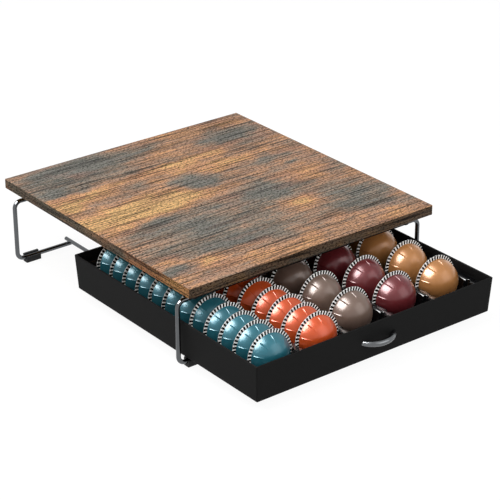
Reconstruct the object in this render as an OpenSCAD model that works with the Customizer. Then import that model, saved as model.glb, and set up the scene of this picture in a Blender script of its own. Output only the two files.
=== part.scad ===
// Coffee pod drawer: a low wire stand with a wood-look top board, and a shallow
// steel drawer that slides on the stand's two rails. A moulded tray in the drawer
// holds rows of capsules upright by their flanges.
// Origin: on the ground, under the middle of the whole box with the drawer pulled
// out as drawn. +X is to the right, -Y is the way the drawer opens, +Z is up.

/* [Top board] */
// Width of the board
board_w = 350; // [340:1:380]
// Depth of the board
board_d = 374; // [366:1:400]
// Thickness of the board with its laminate
board_t = 12; // [11:0.5:18]
// Height of the board's top above the ground
board_top = 107.4; // [107:0.2:116]
// Thickness of the laminate and of the edge bands
skin_t = 0.8; // [0.6:0.1:1.2]

/* [Wire stand] */
// Diameter of the two bent wire frames
wire_d = 5.4; // [4.8:0.2:6]
// Bend radius of the wire's centre line
wire_bend = 8.5; // [6:0.5:12]
// Height of the foot wires' centre line
foot_wire_z = 6.7; // [6.5:0.1:8]
// Height of the top wires' centre line
top_wire_z = 82.3; // [82:0.1:84]
// Distance between the centre lines of a frame's two uprights
upright_span = 348.4; // [347:0.2:352]
// Distance from the board's front edge back to the front frame
front_inset = 23.5; // [20:0.5:28]
// Distance from the board's rear edge forward to the rear frame
rear_inset = 17.8; // [16:0.1:20]
// Gap between the two inner ends of a frame's foot wires
foot_gap = 195; // [190:1:197]
// Diameter of the rails
rail_d = 4.8; // [4:0.2:5]
// Distance between the rails' centre lines
rail_span = 201.8; // [200:0.2:206]
// How far each rail runs past the centre lines of the foot wires
rail_overhang = 6.2; // [4:0.2:8]
// How far a rail is pressed into a foot wire by the weld
weld_sink = 0.3; // [0.1:0.1:0.5]

/* [Rubber feet and board clips] */
// Length of a foot along the wire
foot_l = 20; // [16:1:22]
// Distance of the feet from the middle of the stand
foot_x = 154; // [148:1:154]
// Depth of a foot from front to back
foot_d = 9.4; // [8.8:0.2:11]
// Thickness of the lip that closes over the wire from behind
lip_t = 1.4; // [1.2:0.1:2]
// Height above the wire's axis from which a foot is open to the front
mouth_low = 0.9; // [0.6:0.1:1.4]
// Diameter of the round clips that carry the board
clip_d = 10; // [9.6:0.2:12]
// Distance of the clips from the middle of the stand
clip_x = 153.5; // [148:0.5:156]
// Depth of a clip's underside below the wire's axis
clip_low = 1.1; // [0.8:0.1:1.6]
// Diameter of the clip screws' shanks
screw_d = 3.4; // [3:0.1:3.6]

/* [Drawer] */
// Width of the drawer at its rim
pan_w = 339.8; // [338:0.2:341]
// Depth of the drawer at its rim
pan_d = 342.8; // [338:0.2:344]
// Height of the drawer
pan_h = 43.9; // [42:0.1:46]
// Lean of the drawer's walls, in degrees
pan_draft = 3.1; // [2.5:0.1:3.5]
// Thickness of the sheet
sheet_t = 1.2; // [1:0.1:1.4]
// Depth of the folded hem inside the rim
hem_h = 8; // [6:0.5:8]
// Gap between the rails and the drawer's floor
glide_gap = 0.3; // [0.3:0.1:1]
// How far the drawer's front stands ahead of the board's front edge
open_by = 108.5; // [20:0.5:150]

/* [Handle] */
// Diameter of the handle's rod
handle_d = 6.6; // [6:0.2:8]
// Distance between the ends of the handle's centre line
handle_span = 41.8; // [38:0.2:60]
// How far the handle's centre line bows out from the drawer's face
handle_bow = 10; // [9:0.5:14]
// Diameter of the handle screws' shanks
handle_screw_d = 2.8; // [2.4:0.1:3]

/* [Pod tray] */
// Rows of pods, from left to right
columns = 5; // [5:1:5]
// Distance between the rows
column_pitch = 64.75; // [64:0.05:65]
// Seats in each row
seats = 12; // [12:1:12]
// Distance between the seats
seat_pitch = 25.7; // [25.5:0.1:25.8]
// Distance from the drawer's front rim to the middle of the first seat
seat_first = 27.5; // [27:0.1:28]
// Width of a seat's groove
seat_w = 6; // [5.8:0.1:6.4]
// Radius of a seat's groove
seat_r = 30.25; // [30.2:0.05:30.3]
// Radius of the trough between the grooves
trough_r = 26.8; // [26.4:0.1:27.2]
// Wall thickness of the tray
tray_t = 1; // [0.8:0.1:1]
// Rounding along the edges of the troughs
trough_round = 2.5; // [2:0.1:2.5]
// Thickness of the deck between the troughs
deck_t = 3.2; // [3:0.1:4]

/* [Pods] */
// Diameter of a pod's flange
flange_d = 60; // [59.6:0.1:60]
// Diameter of the dome where it meets the flange
dome_d = 52; // [50:0.2:52]
// Height of a tall pod's dome
tall_h = 26.5; // [24:0.5:27]
// Height of a short pod's dome
short_h = 18; // [16:0.5:19]
// Thickness of a pod's wall
shell_t = 0.7; // [0.5:0.1:1]
// Lean of the short pods, in degrees
short_lean = 4; // [2:0.5:4]
// Lean of the tall pods, in degrees
tall_lean = 1.2; // [0.8:0.1:1.4]

/* [Hidden] */
$fn = 64;
cut = 1;

// Colours
wood = "#a87a4c";
band = "#6b4f38";
steel = "#c8ccd0";
rubber = "#191919";
coat = "#232323";
gloss = "#101214";
foil = "#c9c5bd";

// Heights
board_bottom = board_top - board_t;
rail_z = foot_wire_z + wire_d/2 + rail_d/2 - weld_sink;
pan_z = rail_z + rail_d/2 + glide_gap;
handle_z = pan_z + pan_h/2;
pod_drop = seat_r - flange_d/2 - 0.05;
seat_z = pan_z + sheet_t + tray_t + seat_r + 0.1;
pod_z = seat_z - pod_drop;

// Places along Y, from the drawer's handle back to the board's rear edge
face_lean_y = pan_h/2*tan(pan_draft);
reach = open_by - face_lean_y + handle_bow*cos(pan_draft) + handle_d/2;
board_front = (reach - board_d)/2;
board_rear = board_front + board_d;
front_wire_y = board_front + front_inset;
rear_wire_y = board_rear - rear_inset;
pan_front = board_front - open_by;
face_y = pan_front + face_lean_y;
tray_inset = 2*sheet_t + 0.4;
trough_front = 8;
trough_rear = pan_d - 12;

// Pods in each row: seats taken, counted from the front
short_seats = [for (k = [0:1:seats - 1]) k];
orange_seats = [for (k = [0:1:seats - 3]) k];
tall_seats = [for (k = [1:2:seats - 3]) k];
// Shift of a flange inside its groove: short pods rest back, tall pods forward
short_shift = 1.1;
tall_shift = -1.3;

// ---- Top board ----

module board_core() {
    color(wood)
    difference() {
        translate([-board_w/2 + skin_t, board_front + skin_t, board_bottom])
            cube([board_w - 2*skin_t, board_d - 2*skin_t, board_t - skin_t]);
        at_clips() screw_hole();
    }
}

module top_laminate() {
    color(wood)
    translate([-board_w/2, board_front, board_top - skin_t])
        cube([board_w, board_d, skin_t]);
}

// A band along the front (-1) or the rear (1) edge
module long_band(end) {
    y = end < 0 ? board_front : board_rear - skin_t;
    color(band)
    translate([-board_w/2, y, board_bottom])
        cube([board_w, skin_t, board_t - skin_t]);
}

// A band along the left (-1) or the right (1) edge
module side_band(side) {
    x = side < 0 ? -board_w/2 : board_w/2 - skin_t;
    color(band)
    translate([x, board_front + skin_t, board_bottom])
        cube([skin_t, board_d - 2*skin_t, board_t - skin_t]);
}

// ---- Wire stand ----

// A quarter bend in the XZ plane about its own centre, from angle a0 on
module quarter_bend(a0) {
    rotate([90, 0, 0])
    rotate([0, 0, a0])
    rotate_extrude(angle = 90)
        translate([wire_bend, 0])
        circle(d = wire_d);
}

// One frame, bent from a single rod: foot, upright, top wire, upright, foot
module wire_frame(y) {
    x_up = upright_span/2;
    x_in = x_up - wire_bend;
    color(steel)
    translate([0, y, 0]) {
        translate([-x_in, 0, top_wire_z])
            rotate([0, 90, 0])
            cylinder(d = wire_d, h = 2*x_in);
        for (side = [0, 1])
            mirror([side, 0, 0]) {
                translate([x_in, 0, top_wire_z - wire_bend])
                    quarter_bend(0);
                translate([x_up, 0, foot_wire_z + wire_bend])
                    cylinder(d = wire_d, h = top_wire_z - foot_wire_z - 2*wire_bend);
                translate([x_in, 0, foot_wire_z + wire_bend])
                    quarter_bend(270);
                translate([foot_gap/2, 0, foot_wire_z])
                    rotate([0, 90, 0])
                    cylinder(d = wire_d, h = x_in - foot_gap/2);
            }
    }
}

module rail(side) {
    chamfer = 0.6;
    length = rear_wire_y - front_wire_y + 2*rail_overhang;
    color(steel)
    translate([side*rail_span/2, front_wire_y - rail_overhang, rail_z])
    rotate([-90, 0, 0]) {
        cylinder(d1 = rail_d - 2*chamfer, d2 = rail_d, h = chamfer);
        translate([0, 0, chamfer])
            cylinder(d = rail_d, h = length - 2*chamfer);
        translate([0, 0, length - chamfer])
            cylinder(d1 = rail_d, d2 = rail_d - 2*chamfer, h = chamfer);
    }
}

// ---- Feet and board clips ----

// A rectangle with true round corners, its lower left corner at the origin
module rounded_rect(w, h, r) {
    translate([r, 0]) square([w - 2*r, h]);
    translate([0, r]) square([w, h - 2*r]);
    for (x = [r, w - r], y = [r, h - r])
        translate([x, y]) circle(r = r);
}

// Runs a profile, drawn with Y across and Z up, along the wire
module along_wire() {
    translate([-foot_l/2, 0, 0])
    rotate([90, 0, 90])
    linear_extrude(height = foot_l)
        children();
}

// A block under the wire with a lip behind it: the wire snaps in from the front
module foot(side, y) {
    height = foot_wire_z + wire_d/2 + lip_t;
    color(rubber)
    translate([side*foot_x, y, 0])
    along_wire()
    difference() {
        translate([-foot_d/2, 0]) rounded_rect(foot_d, height, 1.2);
        translate([0, foot_wire_z]) circle(r = wire_d/2 + bore_gap);
        translate([-foot_d, foot_wire_z + mouth_low])
            square([foot_d + mouth_rear, height]);
    }
}

// A round post that is screwed to the board and snaps down over the wire
module board_clip(side, y) {
    color(rubber)
    translate([side*clip_x, y, 0])
    difference() {
        union() {
            translate([0, 0, clip_bottom + clip_bevel])
                cylinder(d = clip_d, h = board_bottom - clip_bottom - clip_bevel);
            translate([0, 0, clip_bottom])
                cylinder(d1 = clip_d - 2*clip_bevel, d2 = clip_d, h = clip_bevel);
        }
        translate([-clip_d, 0, top_wire_z])
            rotate([0, 90, 0])
            cylinder(r = wire_d/2 + bore_gap, h = 2*clip_d);
        translate([0, 0, top_wire_z])
            cylinder(d = screw_head_d + 0.4, h = clip_seat - top_wire_z);
        translate([0, 0, top_wire_z])
            cylinder(r = screw_d/2 + 0.1, h = board_bottom - top_wire_z + cut);
    }
}

bore_gap = 0.05;
mouth_rear = 0.8;
clip_bevel = 0.5;
clip_bottom = top_wire_z - clip_low;
screw_head_d = 6.6;
screw_head_h = 2.2;
screw_grip = 8.5;
// Height of the seat that the screw's head is tightened against
clip_seat = top_wire_z + wire_d/2 + 0.3 + screw_head_h;

// Puts its child at each clip screw: on the board's underside, pointing down
module at_clips() {
    for (side = [-1, 1], frame = [0, 1])
        translate([side*clip_x, frame == 0 ? front_wire_y : rear_wire_y, board_bottom])
        children();
}

module screw_hole() {
    translate([0, 0, -cut])
        cylinder(r = screw_d/2 + 0.05, h = screw_grip + 0.5 + cut);
}

// A pan head with a cross recess; the origin is under the head, shank along +Z
module pan_screw(shank_d, length, head_d, head_h) {
    recess_w = head_d*0.16;
    recess_l = head_d*0.55;
    difference() {
        union() {
            cylinder(d = shank_d, h = length);
            translate([0, 0, -head_h*0.6])
                cylinder(d = head_d, h = head_h*0.6);
            translate([0, 0, -head_h])
                cylinder(d1 = head_d*0.7, d2 = head_d, h = head_h*0.4);
        }
        for (turn = [0, 90])
            rotate([0, 0, turn])
            translate([-recess_l/2, -recess_w/2, -head_h - cut])
                cube([recess_l, recess_w, cut + head_h*0.6]);
    }
}

module clip_screws() {
    color(steel)
    at_clips()
    translate([0, 0, clip_seat - board_bottom])
        pan_screw(screw_d, board_bottom - clip_seat + screw_grip, screw_head_d, screw_head_h);
}

// ---- Drawer ----

// Block with the drawer's sloping sides, set in from the outside of the sheet,
// from height low to height high above the drawer's underside
module pan_block(inset, low, high) {
    w_low = pan_w/2 - (pan_h - low)*tan(pan_draft) - inset;
    w_high = pan_w/2 - (pan_h - high)*tan(pan_draft) - inset;
    d_low = pan_d/2 - (pan_h - low)*tan(pan_draft) - inset;
    d_high = pan_d/2 - (pan_h - high)*tan(pan_draft) - inset;
    translate([0, pan_front + pan_d/2, pan_z])
    intersection() {
        rotate([90, 0, 0])
        linear_extrude(height = pan_d + 2*cut, center = true)
            polygon([[-w_low, low], [w_low, low], [w_high, high], [-w_high, high]]);
        rotate([90, 0, 90])
        linear_extrude(height = pan_w + 2*cut, center = true)
            polygon([[-d_low, low], [d_low, low], [d_high, high], [-d_high, high]]);
    }
}

// Frame of the handle: on the middle of the leaning front, +Z straight out of it
module on_face() {
    translate([0, face_y, handle_z])
    rotate([90 + pan_draft, 0, 0])
        children();
}

handle_screw_x = handle_span/2 - 1;
handle_screw_grip = 4.5;

module drawer_pan() {
    color(coat)
    difference() {
        pan_block(0, 0, pan_h);
        pan_block(sheet_t, sheet_t, pan_h - hem_h);
        pan_block(2*sheet_t, sheet_t, pan_h + cut);
        on_face()
            for (side = [-1, 1])
                translate([side*handle_screw_x, 0, -2*sheet_t])
                cylinder(r = handle_screw_d/2 + 0.1, h = 4*sheet_t);
    }
}

module bow_handle() {
    half = handle_span/2;
    radius = (half*half + handle_bow*handle_bow)/(2*handle_bow);
    sweep = 2*asin(half/radius) + 24;
    color(steel)
    on_face()
    difference() {
        translate([0, 0, handle_bow - radius])
            rotate([90, 0, 0])
            rotate([0, 0, 90 - sweep/2])
            rotate_extrude(angle = sweep)
            translate([radius, 0])
            circle(d = handle_d);
        translate([-handle_span, -handle_span, -2*handle_span])
            cube([2*handle_span, 2*handle_span, 2*handle_span]);
        for (side = [-1, 1])
            translate([side*handle_screw_x, 0, -cut])
            cylinder(r = handle_screw_d/2 + 0.05, h = handle_screw_grip + 0.3 + cut);
    }
}

module handle_screws() {
    color(steel)
    on_face()
    for (side = [-1, 1])
        translate([side*handle_screw_x, 0, -sheet_t])
        pan_screw(handle_screw_d, sheet_t + handle_screw_grip, 5.2, 1.3);
}

// ---- Pod tray ----

// Where row i and seat k are
function column_x(i) = (i - (columns - 1)/2)*column_pitch;
function seat_y(k) = pan_front + seat_first + k*seat_pitch;

// A cylinder lying along Y, centred on a row at deck height
module lying(i, y, r, length) {
    translate([column_x(i), y, seat_z])
    rotate([-90, 0, 0])
        cylinder(r = r, h = length);
}

// All troughs and grooves, grown outwards by the wall
module hollows(wall) {
    for (i = [0:1:columns - 1]) {
        lying(i, pan_front + trough_front - wall, trough_r + wall,
              trough_rear - trough_front + 2*wall);
        for (k = [0:1:seats - 1])
            lying(i, seat_y(k) - seat_w/2 - wall, seat_r + wall, seat_w + 2*wall);
    }
}

// Rounding of a trough's upper edge. Its circle stands a hair above the deck and
// into the trough, so that the faces meet in clean edges.
edge_bite = 0.06;
edge_x = sqrt(pow(trough_r + trough_round - edge_bite, 2) - pow(trough_round - edge_bite, 2));
edge_y = edge_bite - trough_round;

// Runs a profile in the XZ plane along both edges of every trough
module along_edges() {
    for (i = [0:1:columns - 1], side = [0, 1])
        translate([column_x(i), pan_front + trough_rear, seat_z])
        mirror([side, 0, 0])
        rotate([90, 0, 0])
        linear_extrude(height = trough_rear - trough_front)
            children();
}

module pod_tray() {
    deck = seat_z - pan_z;
    low = sheet_t + 0.05;
    color(gloss)
    difference() {
        union() {
            pan_block(tray_inset, deck - deck_t, deck);
            difference() {
                pan_block(tray_inset, low, deck);
                pan_block(tray_inset + tray_t, low - cut, deck - deck_t/2);
            }
            intersection() {
                pan_block(tray_inset + tray_t/2, low - cut, deck - deck_t/2);
                hollows(tray_t);
            }
        }
        hollows(0);
        along_edges()
            difference() {
                polygon([[trough_r*0.9, edge_y*0.9], [edge_x, edge_y],
                         [edge_x, cut], [trough_r*0.9, cut]]);
                translate([edge_x, edge_y]) circle(r = trough_round);
            }
    }
}

// ---- Pods ----

// Half section of a dome: the part of a round section above a level
module dome_half(middle, r, level) {
    intersection() {
        translate([0, middle]) circle(r = r);
        translate([0, level]) square([2*r, 2*r]);
    }
}

// Shell of a pod: thin dome, flat flange and a rolled edge, opening along -Z.
// The dome is the part of a sphere with the given foot and height.
module pod_shell(height) {
    a = dome_d/2;
    r = (a*a + height*height)/(2*height);
    middle = height - r;
    roll = 0.8;
    flange_in = a - shell_t - 0.15;
    rotate_extrude() {
        difference() {
            dome_half(middle, r, 0);
            dome_half(middle, r - shell_t, -cut);
        }
        translate([flange_in, -shell_t])
            square([flange_d/2 - roll - flange_in, shell_t]);
        translate([flange_d/2 - roll, -roll + 0.2])
            circle(r = roll);
    }
}

// Foil lid that closes a pod behind its flange
module pod_lid() {
    lid_t = 0.35;
    translate([0, 0, -shell_t - lid_t])
        cylinder(r = flange_d/2 - 2.2, h = lid_t);
}

// Stands its child in a seat of a row, the dome towards the drawer's front
module in_seat(i, k, shift, lean) {
    translate([column_x(i), seat_y(k) + shift, pod_z])
    rotate([90 - lean, 0, 0])
        children();
}

module short_shells(i, taken, tint) {
    color(tint)
    for (k = taken) in_seat(i, k, short_shift, short_lean) pod_shell(short_h);
}

module short_lids(i, taken) {
    color(foil)
    for (k = taken) in_seat(i, k, short_shift, short_lean) pod_lid();
}

module tall_shells(i, tint) {
    color(tint)
    for (k = tall_seats) in_seat(i, k, tall_shift, tall_lean) pod_shell(tall_h);
}

module tall_lids(i) {
    color(foil)
    for (k = tall_seats) in_seat(i, k, tall_shift, tall_lean) pod_lid();
}

board_core();
top_laminate();
long_band(-1);  // edge_band_front
long_band(1);  // edge_band_rear
side_band(-1);  // edge_band_left
side_band(1);  // edge_band_right
wire_frame(front_wire_y);  // front_wire
wire_frame(rear_wire_y);  // rear_wire
rail(-1);  // left_rail
rail(1);  // right_rail
foot(-1, front_wire_y);  // foot_front_left
foot(1, front_wire_y);  // foot_front_right
foot(-1, rear_wire_y);  // foot_rear_left
foot(1, rear_wire_y);  // foot_rear_right
board_clip(-1, front_wire_y);  // clip_front_left
board_clip(1, front_wire_y);  // clip_front_right
board_clip(-1, rear_wire_y);  // clip_rear_left
board_clip(1, rear_wire_y);  // clip_rear_right
clip_screws();
drawer_pan();
bow_handle();
handle_screws();
pod_tray();
short_shells(0, short_seats, "#2f7f8f");  // teal_shells
short_lids(0, short_seats);  // teal_lids
short_shells(1, orange_seats, "#e0592f");  // orange_shells
short_lids(1, orange_seats);  // orange_lids
tall_shells(2, "#857570");  // taupe_shells
tall_lids(2);  // taupe_lids
tall_shells(3, "#6e2a38");  // burgundy_shells
tall_lids(3);  // burgundy_lids
tall_shells(4, "#b87c42");  // caramel_shells
tall_lids(4);  // caramel_lids
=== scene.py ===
# %% [markdown]
# A coffee pod drawer: chromed wire with a painted dark reflection, printed laminate and lacquered pods
#
# The object is a low wire stand with a wood-look board on top and a shallow steel
# drawer that slides on the stand's rails. The imported model already has every piece
# at its real size and place. This lesson dresses it. Plain hard pieces keep their
# own solids and get a finish. Pieces whose look lies in soft edges, such as bent
# wire, folded sheet, the moulded tray and the drawn pods, are rebuilt as smooth
# surfaces worked out with numpy, in the same places.

# %% The frame
import math

import bmesh
import bpy
import numpy as np
from mathutils import Matrix


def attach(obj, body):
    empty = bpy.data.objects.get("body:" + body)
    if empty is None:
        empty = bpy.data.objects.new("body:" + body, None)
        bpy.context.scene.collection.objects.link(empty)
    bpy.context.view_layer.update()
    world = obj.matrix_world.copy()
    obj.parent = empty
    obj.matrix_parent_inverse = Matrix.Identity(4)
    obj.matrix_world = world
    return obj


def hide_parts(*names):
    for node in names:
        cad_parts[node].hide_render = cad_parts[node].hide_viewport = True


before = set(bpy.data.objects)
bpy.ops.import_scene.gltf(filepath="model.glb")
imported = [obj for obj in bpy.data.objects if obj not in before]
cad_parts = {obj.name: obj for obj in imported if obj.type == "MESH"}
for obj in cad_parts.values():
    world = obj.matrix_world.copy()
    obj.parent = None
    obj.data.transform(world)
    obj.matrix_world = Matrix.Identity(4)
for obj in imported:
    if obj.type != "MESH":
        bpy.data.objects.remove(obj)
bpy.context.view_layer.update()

MM = 0.001
print("frame:", len(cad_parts), "nodes")

# %% [markdown]
# ## The camera
# A long lens from the front left, a little above. Its place and its three
# directions were fitted to the board's corners, so they are written as numbers. A
# camera in Blender looks along its own -Z with +Y up, so the columns of its matrix
# are right, up and back.

# %% The camera
CAMERA_AT = np.array([-1211.78, -1564.77, 1001.06])*MM
YAW, PITCH, ROLL = 0.660877, 0.446402, -0.002758
FOCAL_PIXELS, IMAGE_PIXELS, SENSOR = 1876.106, 500.0, 36.0

forward = np.array([math.sin(YAW)*math.cos(PITCH), math.cos(YAW)*math.cos(PITCH), -math.sin(PITCH)])
level_right = np.array([math.cos(YAW), -math.sin(YAW), 0.0])
level_up = np.cross(level_right, forward)
right = math.cos(ROLL)*level_right + math.sin(ROLL)*level_up
up = -math.sin(ROLL)*level_right + math.cos(ROLL)*level_up

camera = bpy.data.objects.new("camera", bpy.data.cameras.new("camera"))
bpy.context.scene.collection.objects.link(camera)
camera.data.sensor_width = SENSOR
camera.data.lens = FOCAL_PIXELS/IMAGE_PIXELS*SENSOR
camera.data.clip_start, camera.data.clip_end = 0.05, 50.0
pose = np.eye(4)
pose[:3, 0], pose[:3, 1], pose[:3, 2], pose[:3, 3] = right, up, -forward, CAMERA_AT
camera.matrix_world = Matrix(pose.tolist())
bpy.context.scene.camera = camera
print("camera: lens", round(camera.data.lens, 1), "mm")

# %% [markdown]
# ## Helpers for materials
# Colours are written as sRGB hex, as on a paint chip, and one function turns them
# into the linear values that a renderer adds and multiplies. Another adds a node
# with its settings and its inputs, so a finish reads as a short list of calls.

# %% Colours and nodes
def linearise(hex_colour):
    """sRGB hex to linear RGBA: c/12.92 up to 0.04045, ((c + 0.055)/1.055)^2.4 above."""
    c = np.array([int(hex_colour[i:i + 2], 16) for i in (1, 3, 5)])/255
    linear = np.where(c <= 0.04045, c/12.92, ((c + 0.055)/1.055)**2.4)
    return (*linear.tolist(), 1.0)


def new_material(name):
    """A node material with nothing in it but its output."""
    material = bpy.data.materials.new(name)
    material.use_nodes = True
    material.node_tree.nodes.clear()
    material.node_tree.nodes.new("ShaderNodeOutputMaterial")
    return material


def add_node(tree, kind, inputs=None, stops=None, **settings):
    """Adds a node to a tree. An input takes a number, a hex colour, or another node's socket to link;
    stops are a colour ramp's (position, hex colour or grey level)."""
    node = tree.nodes.new(kind)
    for key, value in settings.items():
        setattr(node, key, value)
    for key, value in (inputs or {}).items():
        if isinstance(value, bpy.types.NodeSocket):
            tree.links.new(value, node.inputs[key])
        else:
            node.inputs[key].default_value = linearise(value) if isinstance(value, str) else value
    if stops:
        elements = node.color_ramp.elements
        while len(elements) < len(stops):
            elements.new(0.5)
        for element, (position, colour) in zip(elements, stops):
            element.position = position
            element.color = linearise(colour) if isinstance(colour, str) else (colour, colour, colour, 1)
    return node


def show(material, shader):
    """Links a shader to the material's output."""
    output = material.node_tree.nodes["Material Output"]
    material.node_tree.links.new(shader.outputs[0], output.inputs["Surface"])
    return material


def dress(material, *nodes):
    """Gives CAD nodes that keep their own solids a material."""
    for name in nodes:
        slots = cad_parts[name].data.materials
        slots.clear()
        slots.append(material)


# %% [markdown]
# ## The rustic laminate
# The board's face is a decor paper under clear resin: old barn wood, golden to
# reddish brown where it is sound and weathered to slate grey in patches, with
# close dark grain lines and a few drying cracks. One number, the weathering, picks
# the colour from golden to slate. It is a sum: soft oval places laid out along the
# grain, whose coordinates a noise pushes to and fro so that they fray, and noise
# stretched along the grain for what lies between. Lines, cracks and fibres then
# darken the colour. Each layer is given its length and width in millimetres. Real
# fibres are a fifth of a millimetre wide, too fine to show, so they are drawn 1.5 mm
# wide. The same decor covers the edge bands, with the grain along each.
# The front and rear bands are tinted a darker grey than the side bands, which paints shade on the faces
# turned from the lamps.

# %% Laminate and edge bands
# places on the board, in mm: x, y, half length, half width, and weathering added (+) or taken away (-)
PLACES = [
    (-92, 204, 100, 42, 1.0), (-158, 172, 32, 20, 1.4), (118, 187, 56, 42, 1.1), (2, 99, 40, 32, 1.5),
    (55, 24, 70, 40, 1.2), (-62, -16, 150, 62, 0.8), (-88, 22, 66, 26, 0.7), (125, -50, 64, 52, 1.0),
    (-155, -83, 34, 18, 1.1), (-78, 130, 44, 22, 0.7), (112, 106, 40, 20, 0.7), (-75, -58, 80, 22, 0.9),
    (-88, 68, 18, 6, 0.8), (55, 70, 14, 6, 0.8), (130, 75, 18, 7, 1.2), (10, 220, 60, 22, 0.4),
    (-125, 140, 80, 20, -1.1), (-102, 72, 120, 40, -1.6), (5, 157, 80, 16, -1.0), (85, 164, 66, 14, -0.8),
    (25, 122, 140, 26, -0.5), (-112, -84, 48, 18, -0.8), (-2, -113, 200, 22, -0.45), (-2, -84, 130, 30, 0.3),
    (118, 42, 50, 28, -0.6), (58, -26, 46, 24, -0.8), (60, 229, 70, 20, -0.4), (135, 232, 50, 18, -0.4),
    (-110, 232, 120, 34, 0.9), (-165, 120, 30, 20, -0.8),
]


def wood_decor(name, grain_axis, tint_and_painted_shade, start, places=()):
    """Weathering = 0.5 + places + stretched noise picks a colour; lines, cracks and fibres darken it."""
    material = new_material(name)
    tree = material.node_tree
    place = add_node(tree, "ShaderNodeTexCoord").outputs["Object"]
    # what: length along the grain, width across it (mm), detail, roughness, distortion
    layers = {
        "patch": (48, 26, 4.0, 0.6, 0.2),
        "streak": (34, 3.4, 3.0, 0.6, 0.0),
        "red": (60, 18, 2.0, 0.5, 0.2),
        "line": (80, 1.8, 2.0, 0.55, 0.0),
        "crack": (150, 5.5, 2.0, 0.5, 0.1),
        "fibre": (3.2, 1.5, 2.0, 0.6, 0.0),
    }
    sockets = {}
    for seed, (layer, (length, width, detail, rough, distortion)) in enumerate(layers.items()):
        scale = [1/(width*MM)]*3
        scale[grain_axis] = 1/(length*MM)
        moved = add_node(tree, "ShaderNodeMapping", {
            "Vector": place, "Location": (start + seed*7.3, start + seed*3.1, seed*5.7), "Scale": scale})
        sockets[layer] = add_node(tree, "ShaderNodeTexNoise", {
            "Vector": moved.outputs[0], "Scale": 1.0, "Detail": detail, "Roughness": rough,
            "Distortion": distortion}).outputs[0]
    age = add_node(tree, "ShaderNodeMath", {
        0: sockets["patch"], 1: 1.2, 2: -0.55}, operation="MULTIPLY_ADD")
    age = add_node(tree, "ShaderNodeMath", {
        0: sockets["streak"], 1: 0.9, 2: age.outputs[0]}, operation="MULTIPLY_ADD")
    push = np.array([34.0, 24.0, 0.0])  # mm by which the noise moves a place, along and across
    frays = add_node(tree, "ShaderNodeTexNoise", {
        "Vector": place, "Scale": 1/(18*MM), "Detail": 4.0, "Roughness": 0.65})
    frayed = add_node(tree, "ShaderNodeVectorMath", {
        0: frays.outputs[1], 1: (push*MM).tolist(), 2: place}, operation="MULTIPLY_ADD")
    for x, y, half_length, half_width, weight in places:
        scale = np.array([1/half_length, 1/half_width, 0.0])
        oval = add_node(tree, "ShaderNodeMapping", {
            "Vector": frayed.outputs[0], "Location": (-(np.array([x, y, 0]) + push/2)*scale).tolist(),
            "Scale": (scale/MM).tolist()})
        oval = add_node(tree, "ShaderNodeTexGradient", {0: oval.outputs[0]}, gradient_type="SPHERICAL")
        age = add_node(tree, "ShaderNodeMath", {
            0: oval.outputs[1], 1: 0.6*weight, 2: age.outputs[0]}, operation="MULTIPLY_ADD")
    colour = add_node(tree, "ShaderNodeValToRGB", {"Fac": age.outputs[0]}, stops=[
        (0.0, "#ffce8e"), (0.25, "#f4b886"), (0.5, "#d0a588"), (0.75, "#ac9b8a"), (1.0, "#8e8c84")])
    reddish = add_node(tree, "ShaderNodeValToRGB", {"Fac": sockets["red"]}, stops=[(0.52, 0.0), (0.7, 0.35)])
    colour = add_node(tree, "ShaderNodeMix", {
        "Factor": reddish.outputs[0], 6: colour.outputs[0], 7: "#c98d76"}, data_type="RGBA")
    for layer, low, high, depth in (("line", 0.36, 0.53, 0.17), ("crack", 0.28, 0.38, 0.5),
                                    ("fibre", 0.36, 0.53, 0.12)):
        shade = add_node(tree, "ShaderNodeValToRGB", {"Fac": sockets[layer]}, stops=[
            (low, depth), (high, 1.0)])
        colour = add_node(tree, "ShaderNodeMix", {
            "Factor": 1.0, 6: colour.outputs[2], 7: shade.outputs[0]},
            data_type="RGBA", blend_type="MULTIPLY")
    # multiplies the whole decor by one colour; on the front and rear bands that dark grey is painted shade
    colour = add_node(tree, "ShaderNodeMix", {
        "Factor": 1.0, 6: colour.outputs[2], 7: tint_and_painted_shade}, data_type="RGBA", blend_type="MULTIPLY")
    # pressed pores: 0.08 mm deep, seen only as a broken sheen
    bump = add_node(tree, "ShaderNodeBump", {
        "Height": sockets["fibre"], "Strength": 0.35, "Distance": 0.08*MM})
    gloss = add_node(tree, "ShaderNodeValToRGB", {"Fac": sockets["fibre"]}, stops=[(0.3, 0.62), (0.7, 0.42)])
    return show(material, add_node(tree, "ShaderNodeBsdfPrincipled", {
        "Base Color": colour.outputs[2], "Roughness": gloss.outputs[0], "Specular IOR Level": 0.06,
        "Normal": bump.outputs[0]}))


laminate = wood_decor("rustic_laminate", 0, "#f7f7f6", 0.0, PLACES)
# front and rear bands: the dark grey they are tinted with is painted shade
band_along_x_painted_shade = wood_decor("edge_band_long_painted_shade", 0, "#767c7c", 4.0)
band_along_y = wood_decor("edge_band_side", 1, "#b0a190", 9.0, [
    (-175, -95, 60, 70, -1.0), (-175, 165, 60, 140, 1.3), (-175, 10, 60, 22, 1.0)])
print("materials: laminate and bands")
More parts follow.
